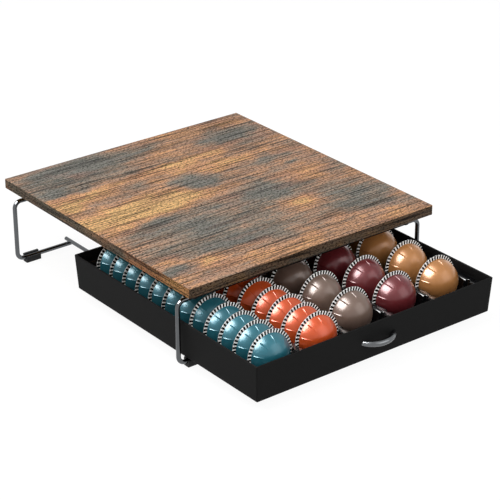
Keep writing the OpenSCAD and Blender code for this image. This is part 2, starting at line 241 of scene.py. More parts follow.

# %% [markdown]
# ## Metals
# The stand is bent from steel rod with chromium plating, a mirror whose colour is set
# to a smoky grey: seen square on it returns about a tenth of the light, and more at a
# glancing angle. That grey is painted reflection of dark surroundings. Faint polishing
# marks dull it. The handle has the same plating and the same painted grey, a little
# duller. The screws are zinc plated: lighter, and rougher.

# %% Plated metals
def plated(name, colour, rough_low, rough_high, mark_mm):
    """Metal whose roughness wanders between two values in marks of a real size."""
    material = new_material(name)
    tree = material.node_tree
    place = add_node(tree, "ShaderNodeTexCoord").outputs["Object"]
    marks = add_node(tree, "ShaderNodeTexNoise", {
        "Vector": place, "Scale": 1/(mark_mm*MM), "Detail": 3.0, "Roughness": 0.6})
    rough = add_node(tree, "ShaderNodeMapRange", {
        "Value": marks.outputs[0], "From Min": 0.3, "From Max": 0.7,
        "To Min": rough_low, "To Max": rough_high})
    shade = add_node(tree, "ShaderNodeMix", {
        "Factor": marks.outputs[0], 6: colour[0], 7: colour[1]}, data_type="RGBA")
    return show(material, add_node(tree, "ShaderNodeBsdfPrincipled", {
        "Base Color": shade.outputs[2], "Metallic": 1.0, "Roughness": rough.outputs[0]}))


# the dark greys of wire and handle are painted reflection of dark surroundings
chrome_painted_dark = plated("chromium_with_painted_dark_reflection", ("#595b5d", "#646668"), 0.05, 0.12, 9)
handle_chrome_painted_dark = plated("satin_chromium_with_painted_dark_reflection", ("#5f6163", "#6c6e70"), 0.16, 0.26, 4)
zinc = plated("zinc_plate", ("#9a9da0", "#b6b8ba"), 0.28, 0.42, 1.2)

# %% [markdown]
# ## Blacks
# Four blacks sit side by side, and only their surfaces tell them apart. The drawer
# is powder coated: a matte skin with a fine orange peel. The tray is thermoformed
# polystyrene with a hard gloss and a few scuffs. The feet are rubber, dull and a
# little grainy, and the clips are moulded nylon.

# %% Blacks
def black(name, colour, rough, specular, grain_mm, grain_depth_mm, strength, scuff=0.0, coat=0.0):
    """A dark dielectric with a grain of a real size and depth, and roughness that scuffs raise."""
    material = new_material(name)
    tree = material.node_tree
    place = add_node(tree, "ShaderNodeTexCoord").outputs["Object"]
    grain = add_node(tree, "ShaderNodeTexNoise", {
        "Vector": place, "Scale": 1/(grain_mm*MM), "Detail": 2.0, "Roughness": 0.5})
    cloud = add_node(tree, "ShaderNodeTexNoise", {
        "Vector": place, "Scale": 1/(38*MM), "Detail": 4.0, "Roughness": 0.65})
    shade = add_node(tree, "ShaderNodeMix", {
        "Factor": cloud.outputs[0], 6: colour[0], 7: colour[1]}, data_type="RGBA")
    rough_range = add_node(tree, "ShaderNodeMapRange", {
        "Value": cloud.outputs[0], "From Min": 0.35, "From Max": 0.75,
        "To Min": rough, "To Max": rough + scuff})
    bump = add_node(tree, "ShaderNodeBump", {
        "Height": grain.outputs[0], "Strength": strength, "Distance": grain_depth_mm*MM})
    return show(material, add_node(tree, "ShaderNodeBsdfPrincipled", {
        "Base Color": shade.outputs[2], "Roughness": rough_range.outputs[0], "Specular IOR Level": specular,
        "Coat Weight": coat, "Coat Roughness": 0.05, "Normal": bump.outputs[0]}))


powder_coat = black("powder_coat", ("#161616", "#1a1a1a"), 0.5, 0.03, 0.9, 0.05, 0.5, scuff=0.06)
tray_gloss = black("gloss_polystyrene", ("#0a0b0c", "#101113"), 0.12, 0.5, 6.0, 0.02, 0.25, scuff=0.14)
foot_rubber = black("moulded_rubber", ("#101010", "#171717"), 0.6, 0.25, 0.5, 0.05, 0.6, scuff=0.1)
clip_nylon = black("moulded_nylon", ("#0e0e0e", "#151515"), 0.42, 0.35, 0.4, 0.03, 0.4, scuff=0.1)

# %% [markdown]
# ## The board's core
# Under the laminate is particle board: pressed chips of a few millimetres in resin.
# It shows only from below, so a cell pattern of chip-sized patches is enough.

# %% Particle board
particle_board = new_material("particle_board")
tree = particle_board.node_tree
place = add_node(tree, "ShaderNodeTexCoord").outputs["Object"]
chips = add_node(tree, "ShaderNodeTexVoronoi", {"Vector": place, "Scale": 1/(3.2*MM), "Randomness": 1.0})
chip_tone = add_node(tree, "ShaderNodeValToRGB", {"Fac": chips.outputs["Distance"]}, stops=[
    (0.1, "#c49a66"), (0.45, "#a97f50"), (0.8, "#7f5c38")])
dust = add_node(tree, "ShaderNodeTexNoise", {"Vector": place, "Scale": 1/(1.1*MM), "Detail": 2.0})
chip_colour = add_node(tree, "ShaderNodeMix", {
    "Factor": 0.35, 6: chip_tone.outputs[0], 7: dust.outputs[1]}, data_type="RGBA", blend_type="SOFT_LIGHT")
chip_bump = add_node(tree, "ShaderNodeBump", {
    "Height": chips.outputs["Distance"], "Strength": 0.5, "Distance": 0.15*MM})
show(particle_board, add_node(tree, "ShaderNodeBsdfPrincipled", {
    "Base Color": chip_colour.outputs[2], "Roughness": 0.8, "Specular IOR Level": 0.2,
    "Normal": chip_bump.outputs[0]}))

# %% [markdown]
# ## The pods
# A pod is deep-drawn aluminium with a lacquer. Pigment hides most of the metal, but
# a little shines through as a satin glow, and the clear coat on top gives soft
# white highlights. Its flange carries a ring of black and white bars. The
# surface knows where it is by its own map: the first coordinate is the turn round
# the pod, the second the distance along the profile from the rim, in decimetres, so
# the bars follow the flange on every pod.

# %% Lacquer with a ring of bars
BARS, BLACK_SHARE = 44, 0.58


def pod_lacquer(name, colour, dark, ring_from, ring_to):
    """Metal under a clear coat; between two distances from the rim it is printed with bars."""
    material = new_material(name)
    tree = material.node_tree
    along = add_node(tree, "ShaderNodeUVMap", uv_map="along")
    split = add_node(tree, "ShaderNodeSeparateXYZ", {0: along.outputs[0]})
    turn, distance = split.outputs[0], split.outputs[1]
    bars = add_node(tree, "ShaderNodeMath", {0: turn, 1: float(BARS)}, operation="MULTIPLY")
    bars = add_node(tree, "ShaderNodeMath", {0: bars.outputs[0]}, operation="FRACT")
    bars = add_node(tree, "ShaderNodeMath", {0: bars.outputs[0], 1: BLACK_SHARE}, operation="LESS_THAN")
    bar_colour = add_node(tree, "ShaderNodeMix", {
        "Factor": bars.outputs[0], 6: "#f4f4f2", 7: "#050505"}, data_type="RGBA")
    past_rim = add_node(tree, "ShaderNodeMath", {0: distance, 1: ring_from}, operation="GREATER_THAN")
    past_ring = add_node(tree, "ShaderNodeMath", {0: distance, 1: ring_to}, operation="GREATER_THAN")
    in_ring = add_node(tree, "ShaderNodeMath", {
        0: past_rim.outputs[0], 1: past_ring.outputs[0]}, operation="SUBTRACT")
    place = add_node(tree, "ShaderNodeTexCoord").outputs["Object"]
    cloud = add_node(tree, "ShaderNodeTexNoise", {
        "Vector": place, "Scale": 1/(14*MM), "Detail": 3.0, "Roughness": 0.6})
    tone = add_node(tree, "ShaderNodeMix", {
        "Factor": cloud.outputs[0], 6: colour, 7: dark}, data_type="RGBA")
    tone = add_node(tree, "ShaderNodeMix", {
        "Factor": past_ring.outputs[0], 6: "#c9c9c7", 7: tone.outputs[2]}, data_type="RGBA")
    tone = add_node(tree, "ShaderNodeMix", {
        "Factor": in_ring.outputs[0], 6: tone.outputs[2], 7: bar_colour.outputs[2]}, data_type="RGBA")
    metal = add_node(tree, "ShaderNodeMapRange", {"Value": in_ring.outputs[0], "To Min": 0.12, "To Max": 0.0})
    coat = add_node(tree, "ShaderNodeMapRange", {"Value": in_ring.outputs[0], "To Min": 0.8, "To Max": 0.05})
    rough = add_node(tree, "ShaderNodeMapRange", {
        "Value": cloud.outputs[0], "From Min": 0.3, "From Max": 0.7, "To Min": 0.3, "To Max": 0.4})
    return show(material, add_node(tree, "ShaderNodeBsdfPrincipled", {
        "Base Color": tone.outputs[2], "Metallic": metal.outputs[0], "Roughness": rough.outputs[0],
        "Specular IOR Level": 0.03, "Coat Weight": coat.outputs[0], "Coat Roughness": 0.26, "Coat IOR": 1.5}))


# %% [markdown]
# ## Helpers for surfaces
# Every new piece is a grid of points, rows one way and columns the other. One
# helper joins neighbours into quads, another turns points and faces into an object.
# Where a mesh is closed, the sum of its faces' signed volumes tells whether the
# faces point outwards, and the helper turns them round if they don't.

# %% Grids and objects
def grid_faces(rows, columns, close_rows=False, close_columns=False, start=0):
    """Quads of a grid whose point (i, j) has the index start + i*columns + j."""
    i, j = np.meshgrid(np.arange(rows if close_rows else rows - 1),
                       np.arange(columns if close_columns else columns - 1), indexing="ij")
    i, j = i.ravel(), j.ravel()
    i2, j2 = (i + 1) % rows, (j + 1) % columns
    return start + np.stack([i*columns + j, i*columns + j2, i2*columns + j2, i2*columns + j], axis=1)


def signed_volume(points, faces):
    """Sum over a fan of triangles in each face of a.(b x c)/6; positive when faces point outwards."""
    total = 0.0
    for size in {len(f) for f in faces}:
        loops = np.array([f for f in faces if len(f) == size])
        for k in range(1, size - 1):
            a, b, c = points[loops[:, 0]], points[loops[:, k]], points[loops[:, k + 1]]
            total += float((a*np.cross(b, c)).sum()/6)
    return total


def make_piece(name, points, faces, material, body, replaces=(), uv=None, sharp=40.0, weighted=False):
    """An object from points in millimetres and faces; uv is one pair for each corner of each face."""
    points = np.asarray(points, float)*MM
    faces = [list(map(int, f)) for f in faces]
    if signed_volume(points, faces) < 0:
        faces = [f[::-1] for f in faces]
        uv = None if uv is None else [corners[::-1] for corners in uv]
    mesh = bpy.data.meshes.new(name)
    mesh.from_pydata(points.tolist(), [], faces)
    mesh.materials.append(material)
    if uv is not None:
        layer = mesh.uv_layers.new(name="along")
        layer.data.foreach_set("uv", np.concatenate([np.asarray(c, np.float32) for c in uv]).ravel())
    mesh.polygons.foreach_set("use_smooth", np.ones(len(mesh.polygons), bool))
    mesh.set_sharp_from_angle(angle=math.radians(sharp))
    piece = bpy.data.objects.new(name, mesh)
    bpy.context.scene.collection.objects.link(piece)
    if weighted:
        piece.modifiers.new("weighted", "WEIGHTED_NORMAL").keep_sharp = True
    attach(piece, body)
    if replaces:
        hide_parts(*replaces)
    print(f"{name}: {len(mesh.vertices)} points, {len(mesh.polygons)} faces")
    return piece


def arc(cx, cy, radius, from_deg, to_deg, count):
    """Evenly spaced points of an arc: centre plus radius times (cos, sin)."""
    t = np.radians(np.linspace(from_deg, to_deg, count))
    return np.stack([cx + radius*np.cos(t), cy + radius*np.sin(t)], axis=1)


# %% [markdown]
# ## Bent wire
# Rod bent on a former keeps its round section right through the bend. A tube swept
# along the centre line does that: at each point of the path, a circle stands across
# the path's direction. All of these paths are flat, so one fixed direction across
# the plane and the path's own direction give the circle its two axes, and the tube
# can't twist. A smaller last circle at each end breaks the cut edge.

# %% Wire frames and rails
BOARD_D, BOARD_FRONT = 374.0, -126.7017
WIRE_R, BEND, FOOT_Z, TOP_Z, UPRIGHT_X, FOOT_END_X = 2.7, 8.5, 6.7, 82.3, 174.2, 97.5
FRONT_WIRE_Y, REAR_WIRE_Y = BOARD_FRONT + 23.5, BOARD_FRONT + BOARD_D - 17.8
RAIL_R, RAIL_X, RAIL_Z, RAIL_OVER = 2.4, 100.9, 11.5, 6.2


def sweep(path, across, radius, around=28, ease=0.5):
    """Points and faces of a tube: path point + radius*(cos a*across + sin a*(direction x across)),
    with a smaller ring at either end and a flat cap on it."""
    path = np.asarray(path, float)
    direction = np.gradient(path, axis=0)
    direction /= np.linalg.norm(direction, axis=1, keepdims=True)
    path = np.vstack([path[:1], path[:1] + direction[:1]*ease, path[1:-1],
                      path[-1:] - direction[-1:]*ease, path[-1:]])
    direction = np.vstack([direction[:1], direction[:1], direction[1:-1], direction[-1:], direction[-1:]])
    radii = np.full(len(path), radius)
    radii[[0, -1]] = radius - ease
    across = np.asarray(across, float)
    side = np.cross(direction, across)
    a = np.linspace(0, 2*np.pi, around, endpoint=False)
    points = (path[:, None] + radii[:, None, None]*(
        np.cos(a)[None, :, None]*across + np.sin(a)[None, :, None]*side[:, None]))
    faces = [list(f) for f in grid_faces(len(path), around, close_columns=True)]
    faces += [list(range(around))[::-1], list(range((len(path) - 1)*around, len(path)*around))]
    return points.reshape(-1, 3), faces


half = np.vstack([
    [[FOOT_END_X, FOOT_Z]],
    arc(UPRIGHT_X - BEND, FOOT_Z + BEND, BEND, -90, 0, 13),
    arc(UPRIGHT_X - BEND, TOP_Z - BEND, BEND, 0, 90, 13),
])
outline = np.vstack([half*[-1, 1], half[::-1]])
for name, y in (("front_wire", FRONT_WIRE_Y), ("rear_wire", REAR_WIRE_Y)):
    path = np.stack([outline[:, 0], np.full(len(outline), y), outline[:, 1]], axis=1)
    points, faces = sweep(path, (0, 1, 0), WIRE_R)
    make_piece("chromed_" + name, points, faces, chrome_painted_dark, "stand", [name])
for name, side in (("left_rail", -1), ("right_rail", 1)):
    y = np.linspace(FRONT_WIRE_Y - RAIL_OVER, REAR_WIRE_Y + RAIL_OVER, 6)
    path = np.stack([np.full(6, side*RAIL_X), y, np.full(6, RAIL_Z)], axis=1)
    points, faces = sweep(path, (1, 0, 0), RAIL_R, ease=0.6)
    make_piece("chromed_" + name, points, faces, chrome_painted_dark, "stand", [name])

# %% [markdown]
# ## Softened edges
# Laminate, edge band, rubber and nylon never have a knife edge: sawing, trimming and
# the mould leave a small radius that catches a line of light. These pieces keep the
# CAD's form. A copy of each mesh is merged, its flat faces are made whole, and a
# Bevel modifier of the real radius rounds the edges.

# %% Copies with rounded edges
def soften(node, name, material, body, radius_mm, segments=2, angle=35):
    """A merged copy of a CAD node with its sharp edges rounded to a radius."""
    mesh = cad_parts[node].data.copy()
    mesh.name = name
    mesh.materials.clear()
    mesh.materials.append(material)
    work = bmesh.new()
    work.from_mesh(mesh)
    bmesh.ops.remove_doubles(work, verts=work.verts, dist=1e-6)
    bmesh.ops.dissolve_limit(work, angle_limit=math.radians(0.6), verts=work.verts, edges=work.edges)
    bmesh.ops.recalc_face_normals(work, faces=work.faces)
    work.to_mesh(mesh)
    work.free()
    mesh.polygons.foreach_set("use_smooth", np.ones(len(mesh.polygons), bool))
    mesh.set_sharp_from_angle(angle=math.radians(angle))
    piece = bpy.data.objects.new(name, mesh)
    bpy.context.scene.collection.objects.link(piece)
    bevel = piece.modifiers.new("edges", "BEVEL")
    bevel.width, bevel.segments, bevel.limit_method = radius_mm*MM, segments, "ANGLE"
    bevel.angle_limit = math.radians(angle)
    bevel.harden_normals = True
    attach(piece, body)
    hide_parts(node)
    return piece


soften("top_laminate", "laminate_sheet", laminate, "stand", 0.35)
for side, decor in (("front", band_along_x_painted_shade), ("rear", band_along_x_painted_shade),
                    ("left", band_along_y), ("right", band_along_y)):
    soften("edge_band_" + side, "banding_" + side, decor, "stand", 0.2, segments=1)
for end in ("front", "rear"):
    for side in ("left", "right"):
        soften(f"foot_{end}_{side}", f"rubber_foot_{end}_{side}", foot_rubber, "stand", 0.4)
        soften(f"clip_{end}_{side}", f"nylon_clip_{end}_{side}", clip_nylon, "stand", 0.4)
dress(particle_board, "board_core")
dress(zinc, "clip_screws", "handle_screws")
print("softened: laminate, bands, feet and clips")

# %% [markdown]
# ## The folded drawer
# The drawer is sheet steel: sides leaning out by three degrees, corners welded and
# ground, and the rim folded inwards into a hem. Its section is one closed line, from
# the middle of the underside, round the bottom edge, up, over the hem and down to
# the inner floor. That line is carried round a rectangle with rounded corners.

# %% Drawer sheet
PAN_W, PAN_D, PAN_H, PAN_Z, DRAFT = 339.8, 342.8, 43.9, 14.2, math.radians(3.1)
SHEET, HEM, OPEN_BY = 1.2, 8.0, 108.5
PAN_FRONT = BOARD_FRONT - OPEN_BY
PAN_MIDDLE_Y = PAN_FRONT + PAN_D/2


def rounded_ring(half_x, half_y, radius, per_corner):
    """A rectangle's outline with quarter circles at its corners, counter-clockwise."""
    ring = []
    for k, (sx, sy) in enumerate(((1, -1), (1, 1), (-1, 1), (-1, -1))):
        ring.append(arc(sx*(half_x - radius), sy*(half_y - radius), radius, -90 + 90*k, 90*k, per_corner))
    return np.vstack(ring)


def drawer_section():
    """(height, inset from the leaning outer face, corner radius) along the sheet's section."""
    outer = [(z, inset) for inset, z in arc(1.5, 1.5, 1.5, 270, 180, 6)]
    fold = [(z, inset) for inset, z in arc(SHEET, PAN_H - SHEET, SHEET, 180, 0, 9)]
    hem = [(PAN_H - HEM + 0.3, 2*SHEET), (PAN_H - HEM, 2*SHEET - 0.3), (PAN_H - HEM, SHEET)]
    floor = [(z, inset) for inset, z in arc(SHEET + 1.6, SHEET + 1.6, 1.6, 180, 270, 5)]
    section = np.array(outer + fold + hem + floor)
    return section, np.maximum(1.5 - section[:, 1], 0.35)


section, corner_radii = drawer_section()
PER_CORNER = 6
rings = []
for (z, inset), radius in zip(section, corner_radii):
    lean = (PAN_H - z)*math.tan(DRAFT) + inset
    ring = rounded_ring(PAN_W/2 - lean, PAN_D/2 - lean, radius, PER_CORNER)
    rings.append(np.column_stack([ring + [0, PAN_MIDDLE_Y], np.full(len(ring), PAN_Z + z)]))
columns = 4*PER_CORNER
faces = [list(f) for f in grid_faces(len(rings), columns, close_columns=True)]
faces += [list(range(columns))[::-1], list(range((len(rings) - 1)*columns, len(rings)*columns))]
make_piece("folded_drawer", np.vstack(rings), faces, powder_coat, "drawer",
           ["drawer_pan"], sharp=50, weighted=True)

# %% [markdown]
# ## The bow handle
# A short length of rod bent to an arc, with both ends cut flush with the drawer's
# leaning face. Each line along the rod is an arc of its own radius, and it ends
# where that arc meets the face: the angle whose cosine is the height of the face
# above the arc's centre over that radius.

# %% Handle
HANDLE_R, HANDLE_HALF, HANDLE_BOW = 3.3, 20.9, 10.0
HANDLE_LINES, HANDLE_STEPS = 32, 41
FACE_Y = PAN_FRONT + PAN_H/2*math.tan(DRAFT)
HANDLE_Z = PAN_Z + PAN_H/2
bow_radius = (HANDLE_HALF**2 + HANDLE_BOW**2)/(2*HANDLE_BOW)
around = np.linspace(0, 2*np.pi, HANDLE_LINES, endpoint=False)
line_radius = bow_radius + HANDLE_R*np.cos(around)
ends_at = np.arccos(np.clip((bow_radius - HANDLE_BOW - 0.3)/line_radius, -1, 1))
share = np.linspace(-1, 1, HANDLE_STEPS)
angle = share[:, None]*ends_at
local = np.stack([line_radius*np.sin(angle),
                  np.broadcast_to(HANDLE_R*np.sin(around), angle.shape),
                  HANDLE_BOW - bow_radius + line_radius*np.cos(angle)], axis=2).reshape(-1, 3)
out = np.array([0, -math.cos(DRAFT), -math.sin(DRAFT)])
upward = np.array([0, -math.sin(DRAFT), math.cos(DRAFT)])
points = np.array([0, FACE_Y, HANDLE_Z]) + local[:, :1]*[1, 0, 0] + local[:, 1:2]*upward + local[:, 2:]*out
faces = [list(f) for f in grid_faces(len(share), len(around), close_columns=True)]
faces += [list(range(HANDLE_LINES))[::-1],
          list(range((HANDLE_STEPS - 1)*HANDLE_LINES, HANDLE_STEPS*HANDLE_LINES))]
make_piece("bowed_handle", points, faces, handle_chrome_painted_dark, "drawer", ["bow_handle"])

# %% [markdown]
# ## The moulded tray
# The tray is thermoformed from one sheet: five troughs with twelve grooves in each,
# all with rounded edges, because a sheet can't be drawn over a knife edge. It is one
# grid. Across the tray runs a section of deck, rounded edge, half circle, rounded
# edge and deck, once for each trough. From row to row only the circle's radius
# changes: it is wider at the grooves, and at the troughs' ends the depth falls to 0.

# %% Tray
PITCH_X, PITCH_Y, FIRST_SEAT, SEATS = 64.75, 25.7, 27.5, 12
TROUGH_R, SEAT_R, SEAT_W, SEAT_Z = 26.8, 30.25, 6.0, PAN_Z + 1.2 + 1.0 + 30.25 + 0.1
TROUGH_FROM, TROUGH_TO, TRAY_INSET = 8.0, PAN_D - 12, 2.8
COLUMN_X = (np.arange(5) - 2)*PITCH_X
SEAT_Y = PAN_FRONT + FIRST_SEAT + np.arange(SEATS)*PITCH_Y


def smooth_step(t):
    """0 below 0, 1 above 1, and 3t^2 - 2t^3 between."""
    t = np.clip(t, 0, 1)
    return t*t*(3 - 2*t)


def trough_section(radius, rounding, count=19, corner=5):
    """Half circle of the given radius let into a flat deck, with rounded upper edges: x and depth."""
    centre_x = math.sqrt((radius + rounding)**2 - rounding**2)
    tangent = math.degrees(math.asin(rounding/(radius + rounding)))
    bowl = arc(0, 0, radius, 180 + tangent, 360 - tangent, count)
    edge = arc(centre_x, -rounding, rounding, 180 - tangent, 90, corner)[1:]
    return np.vstack([(edge*[-1, 1])[::-1], bowl, edge])


rows_y = [TROUGH_FROM - 0.6, TROUGH_FROM - 0.3, TROUGH_FROM, TROUGH_FROM + 0.5, TROUGH_FROM + 1.1]
wall = np.array([-0.55, -0.3, -0.1, 0.1, 0.3, 0.55])
for k in range(SEATS):
    centre = FIRST_SEAT + k*PITCH_Y
    rows_y += list(centre - SEAT_W/2 + wall) + [centre] + list(centre + SEAT_W/2 + wall)
rows_y += [TROUGH_TO - 1.1, TROUGH_TO - 0.5, TROUGH_TO, TROUGH_TO + 0.3, TROUGH_TO + 0.6]
rows_y = np.array(rows_y)
to_seat = np.abs(rows_y[:, None] - (FIRST_SEAT + np.arange(SEATS)*PITCH_Y)).min(1)
in_groove = 1 - smooth_step((to_seat - SEAT_W/2 + 0.55)/1.1)
depth_share = smooth_step((rows_y - TROUGH_FROM + 0.6)/1.7)*smooth_step((TROUGH_TO + 0.6 - rows_y)/1.7)

deck_half_x = PAN_W/2 - (PAN_H - (SEAT_Z - PAN_Z))*math.tan(DRAFT) - TRAY_INSET
deck_half_y = PAN_D/2 - (PAN_H - (SEAT_Z - PAN_Z))*math.tan(DRAFT) - TRAY_INSET
EDGE_R = 1.0
grid = []
for y, groove, share_y in zip(rows_y, in_groove, depth_share):
    radius = TROUGH_R + (SEAT_R - TROUGH_R)*groove
    rounding = 2.5 - 1.7*groove
    shape = trough_section(radius, rounding)
    across = [np.array([[-deck_half_x + EDGE_R, 0.0]])]
    for x in COLUMN_X:
        across.append(shape*[1, share_y] + [x, 0])
    across.append(np.array([[deck_half_x - EDGE_R, 0.0]]))
    line = np.vstack(across)
    grid.append(np.column_stack([line[:, 0], np.full(len(line), PAN_FRONT + y), SEAT_Z + line[:, 1]]))
first, last = grid[0].copy(), grid[-1].copy()
first[:, 1], last[:, 1] = PAN_MIDDLE_Y - deck_half_y + EDGE_R, PAN_MIDDLE_Y + deck_half_y - EDGE_R
grid = [first] + grid + [last]
rows, columns = len(grid), len(grid[0])
points = np.vstack(grid)
faces = [list(f) for f in grid_faces(rows, columns)]
loop = np.concatenate([np.arange(columns), np.arange(1, rows)*columns + columns - 1,
                       (rows - 1)*columns + np.arange(columns - 2, -1, -1),
                       np.arange(rows - 2, 0, -1)*columns])
rim = points[loop]
skirt = list(arc(0, -EDGE_R, EDGE_R, 90, 0, 5)[1:]) + [np.array([EDGE_R, -(SEAT_Z - PAN_Z - 1.3)])]
rings = []
for grow, drop in skirt:
    lean = (-drop - EDGE_R)*math.tan(DRAFT) if -drop > EDGE_R else 0.0
    scale_x = (deck_half_x - EDGE_R + grow - lean)/(deck_half_x - EDGE_R)
    scale_y = (deck_half_y - EDGE_R + grow - lean)/(deck_half_y - EDGE_R)
    ring = (rim - [0, PAN_MIDDLE_Y, 0])*[scale_x, scale_y, 1] + [0, PAN_MIDDLE_Y, 0]
    ring[:, 2] = SEAT_Z + drop
    rings.append(ring)
start = len(points)
points = np.vstack([points] + rings)
n = len(loop)
previous = loop
for k in range(len(rings)):
    current = start + k*n + np.arange(n)
    faces += np.stack([previous, current, np.roll(current, -1), np.roll(previous, -1)], axis=1).tolist()
    previous = current
tray = make_piece("thermoformed_tray", points, faces, tray_gloss, "drawer", ["pod_tray"],
                  sharp=180)
wall_mod = tray.modifiers.new("wall", "SOLIDIFY")
wall_mod.thickness, wall_mod.offset = 0.8*MM, -1.0
print("tray rows and columns:", rows, columns)

# %% [markdown]
# ## Pod shells
# A pod is turned: one profile, carried round its axis. The profile starts behind the
# flange, goes round the rolled rim, along the flat flange, through a small fillet and
# up the dome, which is part of a sphere. The tall pods' dome is half a sphere, the
# short pods' a flatter cap. Then it comes back along the inside. Ten fine ribs are
# pressed into the foot of the dome from within, so points crowd together round each
# rib and spread out between.

# %% Pod profile and shell
FLANGE_R, DOME_R, SHELL, ROLL_R, FILLET = 30.0, 26.0, 0.7, 0.8, 0.4
TALL_H, SHORT_H, TALL_LEAN, SHORT_LEAN, TALL_SHIFT, SHORT_SHIFT = 26.5, 18.0, 1.2, 4.0, -1.3, 1.1
POD_Z = SEAT_Z - (SEAT_R - FLANGE_R - 0.05)
RIBS, RIB_MM, RIB_H, RIB_FROM, RIB_TO = 10, 0.42, 0.42, 2.2, 13.5


def pod_shell(height):
    """Points (turned about Z, dome up), faces and map of one shell. A sphere through a foot circle of
    radius a and an apex at height h has the radius (a*a + h*h)/(2*h). Map: turn, profile distance/100 mm."""
    sphere = (DOME_R**2 + height**2)/(2*height)
    middle = height - sphere
    roll = arc(FLANGE_R - ROLL_R, -ROLL_R + 0.2, ROLL_R, 187, 491, 13)
    fillet_x = math.sqrt((sphere + FILLET)**2 - (FILLET - middle)**2)
    fillet_end = math.degrees(math.atan2(FILLET - middle, fillet_x))
    flange = np.array([[28.4, 0.0], [27.5, 0.0]])
    fillet = arc(fillet_x, FILLET, FILLET, 270, 180 + fillet_end, 4)
    rows_mm = np.array([RIB_FROM - 1.0, RIB_FROM - 0.4, RIB_FROM + 0.3, RIB_FROM + 1.2, 5.5, 8, 10.2,
                        RIB_TO - 0.8, RIB_TO, RIB_TO + 0.8])
    from_foot = np.radians(fillet_end) + rows_mm/sphere
    t = np.concatenate([from_foot, np.linspace(from_foot[-1], math.radians(89), 11)[1:]])
    dome = np.stack([sphere*np.cos(t), middle + sphere*np.sin(t)], axis=1)
    t = np.linspace(math.asin(-middle/(sphere - SHELL)), math.radians(89), 10)
    inner = np.stack([np.cos(t), np.sin(t)], axis=1)*(sphere - SHELL) + [0, middle]
    back = np.array([[DOME_R - SHELL - 0.15, -0.15], [DOME_R - SHELL - 0.1, -SHELL], [27.0, -SHELL]])
    profile = np.vstack([roll, flange, fillet, dome, inner[::-1], back])
    foot_row = len(roll) + len(flange) + len(fillet) - 1
    outer_rows = foot_row + 1 + len(dome)
    step = np.linalg.norm(np.diff(profile, axis=0), axis=1)
    distance = np.concatenate([[0], np.cumsum(step)])
    ring_from = ROLL_R*math.radians(370 - 187)
    ring_to = distance[foot_row] + 0.1

    near = np.array([-1.3, -0.75, -0.4, 0, 0.4, 0.75, 1.3])/25
    between = np.linspace(0, 1, 6)[1:-1]
    gap = 2*np.pi/RIBS
    sector = np.concatenate([near, near[-1] + between*(gap - near[-1] + near[0])])
    turn = (np.pi/2 + np.arange(RIBS)[:, None]*gap + sector).ravel()
    from_rib = np.tile(np.concatenate([near, np.ones(len(between))]), RIBS)

    direction = np.gradient(profile, axis=0)
    normal = np.stack([direction[:, 1], -direction[:, 0]], axis=1)
    normal /= np.linalg.norm(normal, axis=1, keepdims=True)
    above = distance - distance[foot_row]
    reach = smooth_step((above - RIB_FROM + 0.6)/1.2)*smooth_step((RIB_TO + 0.6 - above)/1.2)
    reach[outer_rows:] = 0
    rib = reach[:, None]*RIB_H*np.exp(-(profile[:, :1]*from_rib/RIB_MM)**2)
    radius = profile[:, :1] + rib*normal[:, :1]
    height_z = profile[:, 1:] + rib*normal[:, 1:]
    points = np.stack([radius*np.cos(turn), radius*np.sin(turn),
                       np.broadcast_to(height_z, radius.shape)], axis=2)
    rows, columns = points.shape[:2]
    points = np.vstack([points.reshape(-1, 3), [0, 0, height], [0, 0, height - SHELL]])

    keep = np.arange(rows) != outer_rows - 1
    faces = [f for f in grid_faces(rows, columns, close_rows=True, close_columns=True)
             if keep[f[0]//columns]]
    row_of = [(f[0]//columns, f[3]//columns) for f in faces]
    turns = np.append(turn, turn[0] + 2*np.pi)/(2*np.pi)
    uv = []
    for f, (r0, r1) in zip(faces, row_of):
        j = f[0] % columns
        d1 = distance[r1] if r1 else distance[-1] + 1.0
        uv.append([(turns[j], distance[r0]/100), (turns[j + 1], distance[r0]/100),
                   (turns[j + 1], d1/100), (turns[j], d1/100)])
    top, low = (outer_rows - 1)*columns, outer_rows*columns
    for j in range(columns):
        j2 = (j + 1) % columns
        faces.append([top + j, top + j2, rows*columns])
        faces.append([low + j2, low + j, rows*columns + 1])
        uv.append([(turns[j], distance[outer_rows - 1]/100)]*3)
        uv.append([(turns[j], distance[outer_rows]/100)]*3)
    return points, faces, uv, ring_from/100, ring_to/100


def stand_in_seat(points, column, seat, shift, lean):
    """Tips a pod that points up until its dome faces the drawer's front, and puts it in its seat."""
    t = math.radians(90 - lean)
    x, y, z = points.T
    turned = np.stack([x, y*math.cos(t) - z*math.sin(t), y*math.sin(t) + z*math.cos(t)], axis=1)
    return turned + [COLUMN_X[column], SEAT_Y[seat] + shift, POD_Z]


def row_of_pods(shape, faces, column, seats, shift, lean):
    """Copies of one pod's points and faces in several seats."""
    points = np.vstack([stand_in_seat(shape, column, k, shift, lean) for k in seats])
    all_faces = [[v + i*len(shape) for v in f] for i in range(len(seats)) for f in faces]
    return points, all_faces


